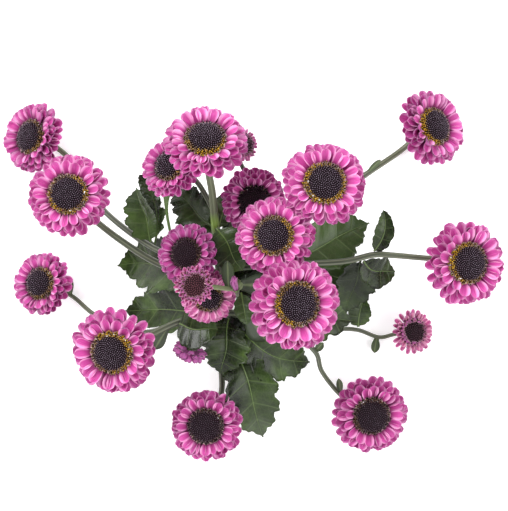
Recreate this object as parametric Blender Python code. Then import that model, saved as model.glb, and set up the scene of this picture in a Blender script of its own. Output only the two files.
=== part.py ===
"""A cut spray of small daisy-eyed chrysanthemums that lies on a surface with its blooms turned up.

The main stem lies on the surface at its cut end, rises through a crown of lobed leaves and ends in one
bloom. Side stalks leave it all the way up. The outer ones arch down until they touch the surface and then
turn up into their blooms, so the spray rests on its stem and on those stalks.

Metres, +Z up. +Y points from the cut end to the top of the spray, and the origin is under the middle of it.
"""

import math
import random

import bmesh
import bpy
from mathutils import Matrix, Vector

MM = 0.001
LONG_STRETCH = 14 * MM
GAP = 0.35 * MM  # between pieces that touch on the real flower
SPRAY = "chrysanthemum_spray"
MIDDLE = (-3.6, 1.0, 0)  # the middle of the spray's outline as the tables below measure it, mm

# Main stem: points along its middle in mm, and how thick it is at each.
STEM_ROUTE = (
    (2, -86, 3.0), (-3, -67, 3.5), (-8, -47, 8.5), (-13, -28, 22), (-16, -13, 35),
    (-18, 3, 46), (-19.5, 19, 57), (-20.5, 32, 66), (-21.5, 44, 73.5),
)
STEM_RADIUS_CUT = 3.0
STEM_RADIUS_TOP = 1.8

# Blooms. at: middle of the flower head in mm. lean: which way it faces (degrees, 0 is +X, 90 is +Y) and by
# how much. width: across the ray florets in mm. stalk: its radius in mm. route: points from the parent stem
# to just before the bloom, in mm; the last stretch into the bloom's back is worked out.
BLOOMS = (
    {"name": "bloom_01", "at": (-121, 76, 12.1), "lean": (166, 36), "width": 38, "stalk": 1.5,
     "route": ((-17.8, 1, 45), (-38, 8, 43), (-57.5, 17, 35), (-80.5, 34, 19), (-95, 52, 5), (-104, 66, 2))},
    {"name": "bloom_02", "at": (-94.5, 42, 72), "lean": (110, 8), "width": 42, "stalk": 1.7,
     "route": ((-17.5, -2, 43), (-33, 1, 46), (-52, 9.5, 50), (-70, 20.5, 53), (-85, 32, 54))},
    {"name": "bloom_03", "at": (-116, -4.5, 14), "lean": (165, 26), "width": 34, "stalk": 1.2,
     "route": ((-40, -24, 40), (-55, -30, 32), (-68, -28.5, 22), (-86, -21, 8), (-99, -11, 2))},
    {"name": "bloom_04", "at": (-71.5, -37.5, 74), "lean": (215, 15), "width": 43, "stalk": 1.7,
     "route": ((-13, -27, 22), (-27, -22, 33), (-41, -25, 41), (-54, -31, 47))},
    {"name": "bloom_05", "at": (-24, 68, 98), "lean": (90, 35), "width": 41, "stalk": 1.8, "route": ()},
    {"name": "bloom_06", "at": (-43.5, 56.5, 76), "lean": (140, 30), "width": 34, "stalk": 1.3,
     "route": ((-20.5, 33, 66), (-24.5, 41, 65), (-29, 48.2, 63), (-34, 53, 62))},
    {"name": "bloom_07", "at": (-5.5, 66, 74), "lean": (10, 38), "width": 16, "stalk": 1.1,
     "route": ((-8, 36, 48), (-4, 50, 54), (-7.5, 60, 63))},
    {"name": "bloom_08", "at": (0, 39, 66), "lean": (-50, 18), "width": 33, "stalk": 1.4,
     "route": ((-18.8, 12, 51), (-12, 28, 48), (-6, 40, 48))},
    {"name": "bloom_09", "at": (35, 46.5, 98), "lean": (60, 8), "width": 41, "stalk": 1.6,
     "route": ((-19, 14, 53), (3, 16, 54), (19, 26, 63), (30, 38, 76))},
    {"name": "bloom_10", "at": (10, 20.5, 94), "lean": (150, 10), "width": 39, "stalk": 1.6,
     "route": ((-18, 4, 46.5), (-6, 8, 58), (6, 15, 71))},
    {"name": "bloom_11", "at": (20, -13, 104), "lean": (0, 14), "width": 45, "stalk": 1.7,
     "route": ((-14.5, -20, 29.5), (0, -20, 44), (9, -17, 64), (14, -14, 80))},
    {"name": "bloom_12", "at": (98, 81.5, 12.45), "lean": (18, 37), "width": 40, "stalk": 1.6,
     "route": ((-18.2, 5, 47), (0, 14, 46), (18, 26, 43), (35, 37, 36), (49, 46, 27), (61, 55, 17), (78, 66.5, 4),
               (86, 73, 3))},
    {"name": "bloom_13", "at": (110, 7.5, 58), "lean": (-5, 20), "width": 43, "stalk": 1.5,
     "route": ((-18, 3, 46), (0, 5, 49), (29, 7, 51), (55, 9.5, 53), (63, 12, 53), (88, 10, 46), (98, 9, 44))},
    {"name": "bloom_14", "at": (87, -30, 12.5), "lean": (5, 20), "width": 26, "stalk": 1.1,
     "route": ((22, -30, 28), (36, -30, 19), (48, -29.5, 11), (58, -30.5, 6), (69, -34.5, 2), (77, -33, 3))},
    {"name": "bloom_15", "at": (63, -75, 16), "lean": (-45, 12), "width": 41, "stalk": 1.25,
     "route": ((-14.5, -20, 29.5), (6, -25, 32), (22, -32, 27), (33.5, -42, 19), (39, -53, 10), (49, -66, 2.2),
               (56, -71, 2.5))},
    {"name": "bloom_16", "at": (-25, -80, 30), "lean": (200, 8), "width": 38, "stalk": 1.5,
     "route": ((-12, -31, 19), (-17.5, -42, 23), (-17.5, -62, 16), (-21, -74, 12))},
    {"name": "bloom_17", "at": (-34.5, 11.5, 73), "lean": (160, 18), "width": 31, "stalk": 1.3,
     "route": ((-18.8, 10, 50), (-25, 11, 53), (-30, 10.5, 58))},
    {"name": "bloom_18", "at": (-29.5, -4, 93), "lean": (190, 5), "width": 23, "stalk": 1.2,
     "route": ((-17.3, -3, 42), (-9.5, -2.5, 48), (-7, -4.5, 58), (-8.5, -6.2, 68), (-14.5, -6, 77))},
    {"name": "bloom_19", "at": (-23.5, -11, 58), "lean": (-60, 18), "width": 28, "stalk": 1.3,
     "route": ((-16.5, -10, 38), (-19, -9, 45))},
    {"name": "bloom_20", "at": (-34, -39, 40), "lean": (250, 98), "width": 19, "stalk": 1.0,
     "route": ((-39, -24.5, 40), (-35, -26, 42))},
    {"name": "bloom_21", "at": (-9.2, -6, 79), "lean": (102, 50), "width": 8, "stalk": 0.8,
     "route": ((-8.3, -6, 67),)},
)
HALF_OPEN = ("bloom_18", "bloom_20")  # their florets still stand up round the disc
QUILLED = ("bloom_07", "bloom_14")  # young, with narrow florets
CLOSED = ("bloom_21",)  # a bud with no disc to see

# Flower head, as shares of the bloom's width. The disc's base is the head's zero height.
DISC_RADIUS = 0.20
YOUNG_DISC_RADIUS = 0.24  # a young bloom's florets are still short beside its disc
DISC_HEIGHT = 0.10
CORE_TOP_RADIUS = 0.255
CORE_FOOT_RADIUS = 0.22
CORE_DEPTH = 0.10
CUP_DEPTH = 0.12
CUP_TOP_RADIUS = 0.18

# Whorls of ray florets: count, root radius, root height, rise at the root in degrees, length, width, share
# that the tip bends down. All but the count, the rise and the bend are shares of the bloom's width.
OPEN_WHORLS = (
    (10, 0.14, -0.050, 30, 0.335, 0.195, 0.16),
    (12, 0.10, -0.080, 11, 0.410, 0.185, 0.06),
)
SMALL_WHORLS = (
    (9, 0.14, -0.050, 32, 0.335, 0.210, 0.16),
    (11, 0.10, -0.080, 11, 0.410, 0.200, 0.06),
)
QUILLED_WHORLS = (
    (10, 0.210, -0.055, 48, 0.235, 0.125, 0.05),
    (11, 0.12, -0.080, 14, 0.360, 0.150, 0.05),
)
HALF_OPEN_WHORLS = (
    (10, 0.230, -0.080, 64, 0.320, 0.150, -0.05),
    (10, 0.10, -0.095, 16, 0.420, 0.175, -0.38),
)
CLOSED_WHORLS = ((7, 0.08, -0.08, 66, 1.05, 0.42, -0.10),)
FLORET_THICK = 1.2 * MM
SMALL = 36  # mm across; smaller blooms have fewer florets

# Leaves. foot: where the leaf's stalk meets its stem, mm. tip: mm. width: mm. arch: how far the middle
# stands above a straight line, mm. bow: how far it stands to the left of one. bare: the share of the length
# before the blade. A tip below the surface makes the end of the leaf lie flat on it.
LEAVES = (
    {"name": "leaf_01", "foot": (-12, -35, 22), "tip": (5, -89, 3), "width": 30, "arch": 12, "bow": 1, "bare": 0.16},
    {"name": "leaf_02", "foot": (-11, -25.5, 26.6), "tip": (31, -48, 7), "width": 28, "arch": 8, "bow": -5, "bare": 0.22},
    {"name": "leaf_03", "foot": (15, 6.5, 47.8), "tip": (61, 28, 43), "width": 29, "arch": -3, "bow": 0, "bare": 0.14},
    {"name": "leaf_04", "foot": (24, 5.4, 47.8), "tip": (60, -8, 36), "width": 27, "arch": -5, "bow": 0, "bare": 0.12},
    {"name": "leaf_05", "foot": (-13.2, -10, 38.5), "tip": (54, -25, 18), "width": 30, "arch": 4, "bow": 0, "bare": 0.30},
    {"name": "leaf_06", "foot": (63.5, 14.2, 54), "tip": (69, 34, 60), "width": 12, "arch": 2, "bow": -2, "bare": 0.12},
    {"name": "leaf_07", "foot": (57.5, 7.8, 51), "tip": (75, -1, 41), "width": 15, "arch": 1, "bow": 0, "bare": 0.10},
    {"name": "leaf_08", "foot": (57.5, -28.6, 6.8), "tip": (60, -13, 14), "width": 11, "arch": 2, "bow": 2, "bare": 0.15},
    {"name": "leaf_09", "foot": (-22, 26, 58), "tip": (-43, 45, 46), "width": 22, "arch": 2, "bow": 0, "bare": 0.12},
    {"name": "leaf_10", "foot": (-55, 18, 37.5), "tip": (-65, 46, 33), "width": 18, "arch": 2, "bow": 0, "bare": 0.08},
    {"name": "leaf_11", "foot": (-52.8, 16.8, 40.2), "tip": (-61, 53.5, 44), "width": 15, "arch": 1, "bow": -5, "bare": 0.10},
    {"name": "leaf_12", "foot": (-20.0, -7.8, 38.3), "tip": (-76, 5, -12), "width": 31, "arch": 9, "bow": -5, "bare": 0.25},
    {"name": "leaf_13", "foot": (-17.6, -19.5, 28), "tip": (-72, -20, -8), "width": 25, "arch": 6, "bow": 0, "bare": 0.22},
    {"name": "leaf_14", "foot": (-39.5, -25.2, 43.4), "tip": (-20, -28, 49), "width": 17, "arch": 2, "bow": 0, "bare": 0.08},
    {"name": "leaf_15", "foot": (-13.5, -23, 31.5), "tip": (-18, -53, 29), "width": 27, "arch": 3, "bow": 0, "bare": 0.10},
    {"name": "leaf_16", "foot": (-19.4, 25, 65.2), "tip": (-6, 3, 63), "width": 22, "arch": 2, "bow": 0, "bare": 0.08},
    {"name": "leaf_17", "foot": (-19, 24, 56.3), "tip": (-13, 44, 46), "width": 14, "arch": 1, "bow": 0, "bare": 0.12},
    {"name": "leaf_18", "foot": (-21.5, 14.5, 51), "tip": (-36, 24, 44), "width": 14, "arch": 1, "bow": 0, "bare": 0.12},
    {"name": "leaf_19", "foot": (-6.6, -8.2, 65.5), "tip": (-3.6, -25, 66), "width": 10.5, "arch": 1, "bow": 0, "bare": 0.10},
)
LEAF_THICK = 0.8 * MM
BARE = 0.17  # share of the length before the blade in the outlines below
# Leaf outline: share of the length, half width as a share of the widest, and how far the edge runs ahead of
# the midrib, as a share of the length. Wide ones are the tips of lobes and narrow ones the bays between.
LEAF_OUTLINE = (
    (0.00, 0.06, 0.00), (0.17, 0.08, 0.00), (0.30, 0.62, 0.03), (0.38, 0.44, 0.00), (0.54, 1.00, 0.05),
    (0.62, 0.62, 0.00), (0.75, 0.76, 0.05), (0.82, 0.44, 0.00), (0.91, 0.36, 0.03),
)
SMALL_LEAF = 14  # mm wide; smaller leaves have one pair of lobes
SMALL_OUTLINE = (
    (0.00, 0.10, 0.00), (0.17, 0.14, 0.00), (0.36, 0.74, 0.03), (0.48, 0.66, 0.00), (0.66, 1.00, 0.04),
    (0.84, 0.55, 0.02),
)
LEAF_FOLD = 0.16  # how far the blade's edges stand above its midrib, as a share of the half width
LEAF_WAVE = 0.10  # and how far every other lobe lifts

# Bracts: tiny leaves on the stalks, grown in one with them. foot and tip in mm, width in mm.
BRACTS = (
    ((-100.5, -10.2, 3), (-99.7, -1, 7), 3.2),
    ((68, -34.5, 2.2), (66.5, -43, 4.5), 5.2),
    ((48, -65, 3), (46.5, -57, 10), 4.0),
    ((61, 55, 17), (69, 63, 17), 3.4),
    ((33, -41.5, 19), (37.5, -36.5, 23), 4.5),
    ((-13, -6.2, 75.5), (-13.5, 8, 81), 7.0),
    ((-46, -28, 43), (-53, -39, 36), 7.0),
    ((-7, -4.5, 57), (8, -5, 52), 13.0),
    ((-3, -19.5, 41.5), (6, -34, 37), 15.0),
)


def vec(point):
    """A point of the tables, in mm, as a place in metres."""
    return (Vector(point) - Vector(MIDDLE)) * MM


def facing(lean):
    """The unit vector along which a bloom faces."""
    way, tilt = (math.radians(a) for a in lean)
    return Vector((math.sin(tilt) * math.cos(way), math.sin(tilt) * math.sin(way), math.cos(tilt)))


def clear_scene():
    for obj in list(bpy.data.objects):
        bpy.data.objects.remove(obj)


def material(name, colour, roughness):
    made = bpy.data.materials.new(name)
    made.use_nodes = True
    shader = made.node_tree.nodes["Principled BSDF"]
    shader.inputs["Base Color"].default_value = (*colour, 1)
    shader.inputs["Roughness"].default_value = roughness
    shader.inputs["Metallic"].default_value = 0
    made.diffuse_color = (*colour, 1)
    return made


def object_from(name, mesh, collection):
    obj = bpy.data.objects.new(name, mesh)
    collection.objects.link(obj)
    return obj


def closed_mesh(name, corners, faces):
    """A mesh of those faces, all turned outwards."""
    work = bmesh.new()
    verts = [work.verts.new(c) for c in corners]
    for face in faces:
        work.faces.new([verts[i] for i in face])
    bmesh.ops.recalc_face_normals(work, faces=work.faces)
    mesh = bpy.data.meshes.new(name)
    work.to_mesh(mesh)
    work.free()
    return mesh


def joined(name, collection, shade):
    """One mesh of everything in the collection, by a Boolean union, as a new node. The pieces are removed."""
    pieces = sorted(collection.objects, key=lambda o: o.name)
    first, rest = pieces[0], pieces[1:]
    collection.objects.unlink(first)
    node = object_from(name, first.data, bpy.data.collections[SPRAY])
    node.matrix_world = first.matrix_world.copy()
    bpy.data.objects.remove(first)
    union = node.modifiers.new("union", "BOOLEAN")
    union.operation = "UNION"
    union.operand_type = "COLLECTION"
    union.collection = collection
    union.solver = "MANIFOLD"
    bpy.context.view_layer.update()
    graph = bpy.context.evaluated_depsgraph_get()
    mesh = bpy.data.meshes.new_from_object(node.evaluated_get(graph))
    mesh.transform(node.matrix_world)
    node.modifiers.clear()
    node.data = mesh
    node.matrix_world = Matrix.Identity(4)
    mesh.materials.clear()
    mesh.materials.append(shade)
    for piece in rest:
        bpy.data.objects.remove(piece)
    bpy.data.collections.remove(collection)
    return node


def new_collection(name):
    made = bpy.data.collections.new(name)
    bpy.context.scene.collection.children.link(made)
    return made


def smooth_route(points):
    """Points on a smooth curve through the given ones, with one more halfway along each long stretch."""
    ends = [points[0] * 2 - points[1], *points, points[-1] * 2 - points[-2]]
    found = []
    for i in range(1, len(ends) - 2):
        a, b, c, d = ends[i - 1 : i + 3]
        steps = 2 if (c - b).length > LONG_STRETCH else 1
        for k in range(steps):
            t = k / steps
            found.append(
                0.5 * (2 * b + (c - a) * t + (2 * a - 5 * b + 4 * c - d) * t**2 + (3 * b - a - 3 * c + d) * t**3)
            )
    return [*found, points[-1].copy()]


def tube(name, points, radii, sides_step, collection):
    """A round stalk along the points as a closed mesh. sides_step is the curve's bevel_resolution."""
    curve = bpy.data.curves.new(name, "CURVE")
    curve.dimensions = "3D"
    curve.bevel_depth = 1.0
    curve.bevel_resolution = sides_step
    curve.use_fill_caps = True
    spline = curve.splines.new("POLY")
    spline.points.add(len(points) - 1)
    for place, point, radius in zip(spline.points, points, radii, strict=True):
        place.co = (*point, 1)
        place.radius = radius
    guide = object_from(name + "_guide", curve, collection)
    bpy.context.view_layer.update()
    graph = bpy.context.evaluated_depsgraph_get()
    mesh = bpy.data.meshes.new_from_object(guide.evaluated_get(graph))
    bpy.data.objects.remove(guide)
    work = bmesh.new()
    work.from_mesh(mesh)
    bmesh.ops.remove_doubles(work, verts=work.verts, dist=1e-6)
    bmesh.ops.recalc_face_normals(work, faces=work.faces)
    work.to_mesh(mesh)
    work.free()
    return object_from(name, mesh, collection)


def floret_mesh(name, length, width, cup, bend, thick):
    """One ray floret along +X from its pointed root, hollowed above and keeled below, with a round end."""
    middle, shoulder = 0.68 * length, 0.91 * length

    def drop(along):
        return -bend * along * along / length

    corners = (
        (0, 0, 0),
        (middle, width / 2, cup + drop(middle)), (middle, 0, drop(middle)), (middle, -width / 2, cup + drop(middle)),
        (middle, 0, drop(middle) - thick),
        (shoulder, 0.34 * width, 0.9 * cup + drop(shoulder)), (shoulder, -0.34 * width, 0.9 * cup + drop(shoulder)),
        (length, 0, 0.5 * cup + drop(length)),
    )
    faces = (
        (0, 2, 1), (0, 3, 2), (0, 1, 4), (0, 4, 3),
        (1, 2, 5), (2, 7, 5), (2, 6, 7), (2, 3, 6),
        (1, 5, 4), (5, 7, 4), (7, 6, 4), (6, 3, 4),
    )
    return closed_mesh(name, corners, faces)


def head_matrix(bloom):
    """Places a flower head: its disc's base at the bloom's point, its axis along the way it faces."""
    axis = facing(bloom["lean"])
    return Matrix.Translation(vec(bloom["at"])) @ axis.to_track_quat("Z", "Y").to_matrix().to_4x4()


def whorls_of(bloom):
    if bloom["name"] in HALF_OPEN:
        return HALF_OPEN_WHORLS
    if bloom["name"] in QUILLED:
        return QUILLED_WHORLS
    if bloom["name"] in CLOSED:
        return CLOSED_WHORLS
    return SMALL_WHORLS if bloom["width"] < SMALL else OPEN_WHORLS


def make_rays(bloom, shade):
    """The ray florets of one bloom, in one with the core that they grow from."""
    width = bloom["width"] * MM
    draw = random.Random(bloom["name"])
    place = head_matrix(bloom)
    parts = new_collection(bloom["name"] + "_parts")

    work = bmesh.new()
    bmesh.ops.create_cone(
        work, cap_ends=True, segments=12, radius1=CORE_FOOT_RADIUS * width, radius2=CORE_TOP_RADIUS * width,
        depth=CORE_DEPTH * width, matrix=Matrix.Translation((0, 0, -CORE_DEPTH * width / 2)),
    )
    mesh = bpy.data.meshes.new("core")
    work.to_mesh(mesh)
    work.free()
    core = object_from("a_core", mesh, parts)
    core.matrix_world = place

    for tier, (count, radius, height, rise, length, breadth, bend) in enumerate(whorls_of(bloom)):
        for k in range(count):
            turn = 2 * math.pi * (k + 0.5 * tier) / count + draw.uniform(-0.03, 0.03)
            reach = length * width * draw.uniform(0.96, 1.03)
            spread = breadth * width * draw.uniform(0.94, 1.02)
            mesh = floret_mesh("floret", reach, spread, 0.035 * width, bend, FLORET_THICK)
            floret = object_from(f"b_floret_{tier}_{k:02d}", mesh, parts)
            root = Matrix.Translation((radius * width, 0, height * width))
            lift = Matrix.Rotation(-math.radians(rise + draw.uniform(-3, 3)), 4, "Y")
            floret.matrix_world = place @ Matrix.Rotation(turn, 4, "Z") @ root @ lift
    return joined(bloom["name"] + "_rays", parts, shade)


def make_disc(bloom, shade):
    """The domed eye of one bloom, studded with low points where its packed florets stand."""
    width = bloom["width"] * MM
    share = YOUNG_DISC_RADIUS if bloom["name"] in QUILLED + HALF_OPEN else DISC_RADIUS
    radius, height = share * width, DISC_HEIGHT * width
    work = bmesh.new()
    bmesh.ops.create_uvsphere(work, u_segments=10, v_segments=8, radius=1)
    bmesh.ops.bisect_plane(
        work, geom=[*work.verts, *work.edges, *work.faces], plane_co=(0, 0, 0.02), plane_no=(0, 0, -1),
        clear_outer=True,
    )
    bmesh.ops.holes_fill(work, edges=[e for e in work.edges if e.is_boundary])
    for vert in work.verts:
        turn = round(math.atan2(vert.co.y, vert.co.x) / (math.pi / 5))
        tier = round(vert.co.z * 4)
        stud = 0.0 if vert.co.z < 0.1 or vert.co.z > 0.99 else 0.035 * (1 if (turn + tier) % 2 else -1)
        vert.co *= 1 + stud
        vert.co.x *= radius
        vert.co.y *= radius
        vert.co.z = vert.co.z * height
    low = min(v.co.z for v in work.verts)
    for vert in work.verts:
        vert.co.z += GAP - low
    bmesh.ops.recalc_face_normals(work, faces=work.faces)
    mesh = bpy.data.meshes.new(bloom["name"] + "_disc")
    work.to_mesh(mesh)
    work.free()
    mesh.materials.append(shade)
    node = object_from(bloom["name"] + "_disc", mesh, bpy.data.collections[SPRAY])
    node.matrix_world = head_matrix(bloom)
    return node


def neck_of(bloom):
    """Where the stalk ends, under the green cup of the bloom."""
    return vec(bloom["at"]) - facing(bloom["lean"]) * (CORE_DEPTH + CUP_DEPTH) * bloom["width"] * MM


def make_cup(bloom, parts):
    """The green cup of bracts under a bloom's florets."""
    width = bloom["width"] * MM
    top = -CORE_DEPTH * width - GAP
    work = bmesh.new()
    bmesh.ops.create_cone(
        work, cap_ends=True, segments=8, radius1=bloom["stalk"] * 1.15 * MM, radius2=CUP_TOP_RADIUS * width,
        depth=CUP_DEPTH * width, matrix=Matrix.Translation((0, 0, top - CUP_DEPTH * width / 2)),
    )
    mesh = bpy.data.meshes.new("cup")
    work.to_mesh(mesh)
    work.free()
    cup = object_from("c_cup_" + bloom["name"], mesh, parts)
    cup.matrix_world = head_matrix(bloom)


def make_stalk(bloom, parts):
    """The stalk from the parent stem into the bloom's cup."""
    neck, axis = neck_of(bloom), facing(bloom["lean"])
    inside = neck + axis * 0.05 * bloom["width"] * MM
    points = [vec(p) for p in bloom["route"]] + [neck - axis * 3 * MM, inside]
    route = smooth_route(points)
    radius = bloom["stalk"] * MM
    radii = [radius * (1.12 - 0.20 * i / (len(route) - 1)) for i in range(len(route))]
    tube("b_stalk_" + bloom["name"], route, radii, 1, parts)


def make_bract(number, foot, tip, width, parts):
    along = vec(tip) - vec(foot)
    mesh = floret_mesh("bract", along.length, width * MM, 0.6 * MM, 0.08, 0.9 * MM)
    bract = object_from(f"d_bract_{number}", mesh, parts)
    bract.matrix_world = Matrix.Translation(vec(foot)) @ along.to_track_quat("X", "Z").to_matrix().to_4x4()


def make_stem(shade):
    """The main stem with every stalk, cup and bract that grows from it, in one piece."""
    parts = new_collection("stem_parts")
    top = next(b for b in BLOOMS if not b["route"])
    neck, axis = neck_of(top), facing(top["lean"])
    points = [vec(p) for p in STEM_ROUTE] + [neck - axis * 7 * MM, neck + axis * 2 * MM]
    route = smooth_route(points)
    steps = len(route) - 1
    radii = [(STEM_RADIUS_CUT + (STEM_RADIUS_TOP - STEM_RADIUS_CUT) * i / steps) * MM for i in range(steps + 1)]
    tube("a_stem", route, radii, 2, parts)
    for bloom in BLOOMS:
        if bloom["route"]:
            make_stalk(bloom, parts)
        make_cup(bloom, parts)
    for number, (foot, tip, width) in enumerate(BRACTS):
        make_bract(number, foot, tip, width, parts)
    return joined("stem", parts, shade)


def leaf_point(start, control, end, share):
    """A point on the midrib, and the way that the midrib runs there."""
    a, b, c = (1 - share) ** 2, 2 * share * (1 - share), share**2
    point = start * a + control * b + end * c
    along = ((control - start) * (1 - share) + (end - control) * share).normalized()
    return point, along


def make_leaf(leaf, shade):
    """A lobed leaf: a thin arched plate, its halves folded up a little from the midrib and its lobes waved."""
    start, tip = vec(leaf["foot"]), vec(leaf["tip"])
    control = (start + tip) / 2 + Vector((0, 0, 2 * leaf["arch"] * MM))
    control += Vector((0, 0, 1)).cross(tip - start).normalized() * 2 * leaf["bow"] * MM
    half = leaf["width"] * MM / 2
    floor = LEAF_THICK / 2 if leaf["tip"][2] <= 0 else 0.6 * MM

    rows = []
    outline = SMALL_OUTLINE if leaf["width"] < SMALL_LEAF else LEAF_OUTLINE
    for row, (share, spread, ahead) in enumerate(outline):
        reach = leaf["bare"] * share / BARE if share < BARE else 1 - (1 - leaf["bare"]) * (1 - share) / (1 - BARE)
        point, along = leaf_point(start, control, tip, reach)
        side = Vector((0, 0, 1)).cross(along).normalized()
        up = along.cross(side)
        length = (tip - start).length
        wave = LEAF_WAVE * (1 if row % 4 == 0 else 0)
        rise = spread * half * (LEAF_FOLD + wave)
        left = point + side * spread * half + along * ahead * length + up * rise
        right = point - side * spread * half + along * ahead * length + up * rise
        rows.append([(left, up), (point, up), (right, up)])
    point, along = leaf_point(start, control, tip, 1)
    up = along.cross(Vector((0, 0, 1)).cross(along).normalized())
    rows.append([(point, up)])

    def skin(offset):
        found = []
        for row in rows:
            for place, up in row:
                low = place.z < floor
                way = Vector((0, 0, 1)) if low else up
                found.append(Vector((place.x, place.y, max(place.z, floor))) + way * offset)
        return found

    top, under = skin(LEAF_THICK / 2), skin(-LEAF_THICK / 2)
    shift = len(top)
    triangles = []
    last = len(outline) - 1
    for i in range(last):
        a, b = 3 * i, 3 * (i + 1)
        triangles += [(a, a + 1, b), (a + 1, b + 1, b), (a + 1, a + 2, b + 2), (a + 1, b + 2, b + 1)]
    a = 3 * last
    triangles += [(a, a + 1, a + 3), (a + 1, a + 2, a + 3)]
    faces = list(triangles) + [tuple(shift + i for i in reversed(t)) for t in triangles]
    rim = [3 * i for i in range(last + 1)] + [a + 3] + [3 * i + 2 for i in range(last, -1, -1)] + [1]
    for here, after in zip(rim, rim[1:] + rim[:1], strict=True):
        faces += [(here, shift + here, shift + after), (here, shift + after, after)]
    mesh = closed_mesh(leaf["name"], top + under, faces)
    mesh.materials.append(shade)
    return object_from(leaf["name"], mesh, bpy.data.collections[SPRAY])


def main():
    clear_scene()
    new_collection(SPRAY)
    pink = material("ray_floret_pink", (0.72, 0.13, 0.44), 0.55)
    purple = material("disc_floret_purple", (0.045, 0.022, 0.035), 0.7)
    stem_green = material("stem_green", (0.14, 0.19, 0.10), 0.6)
    leaf_green = material("leaf_green", (0.045, 0.10, 0.035), 0.5)

    make_stem(stem_green)
    for bloom in BLOOMS:
        make_rays(bloom, pink)
        if bloom["name"] not in CLOSED and bloom["lean"][1] < 90:
            make_disc(bloom, purple)
    for leaf in LEAVES:
        make_leaf(leaf, leaf_green)


main()
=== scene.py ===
import math
import random

import bpy
import numpy as np
from mathutils import Matrix, Vector


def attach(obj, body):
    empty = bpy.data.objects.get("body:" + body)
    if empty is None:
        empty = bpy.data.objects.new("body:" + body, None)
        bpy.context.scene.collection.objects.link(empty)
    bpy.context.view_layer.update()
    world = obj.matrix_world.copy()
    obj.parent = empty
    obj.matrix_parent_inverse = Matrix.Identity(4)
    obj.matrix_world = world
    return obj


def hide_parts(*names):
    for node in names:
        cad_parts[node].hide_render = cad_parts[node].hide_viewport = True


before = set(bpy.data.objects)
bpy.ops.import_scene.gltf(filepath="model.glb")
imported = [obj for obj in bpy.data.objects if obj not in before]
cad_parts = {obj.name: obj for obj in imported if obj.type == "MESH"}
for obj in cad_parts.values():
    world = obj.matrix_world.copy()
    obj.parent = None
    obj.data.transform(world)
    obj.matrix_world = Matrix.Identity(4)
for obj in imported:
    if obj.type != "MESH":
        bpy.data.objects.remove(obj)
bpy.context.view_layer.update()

# Main stem, side stalks, cups and bracts:
# One living piece: a soft green stem, cut off at its foot, with a side stalk for each flower head. Fine ribs
# run along it. Under each head the stalk widens into a cup of overlapping green bracts, and a few small
# bracts stand along the stalks.

MM = 0.001
MIDDLE = Vector((-3.6, 1.0, 0))  # the spray's middle, where the sizes below count from its crown, mm
STEM_ROUTE = (
    (2, -86, 3.0), (-3, -67, 3.5), (-8, -47, 8.5), (-13, -28, 22), (-16, -13, 35),
    (-18, 3, 46), (-19.5, 19, 57), (-20.5, 32, 66), (-21.5, 44, 73.5),
)
STEM_RADIUS = (3.0, 1.6)
FORK = (-19, 28, 63)  # the upper fork, where the stem is young and yellow-green

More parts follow.
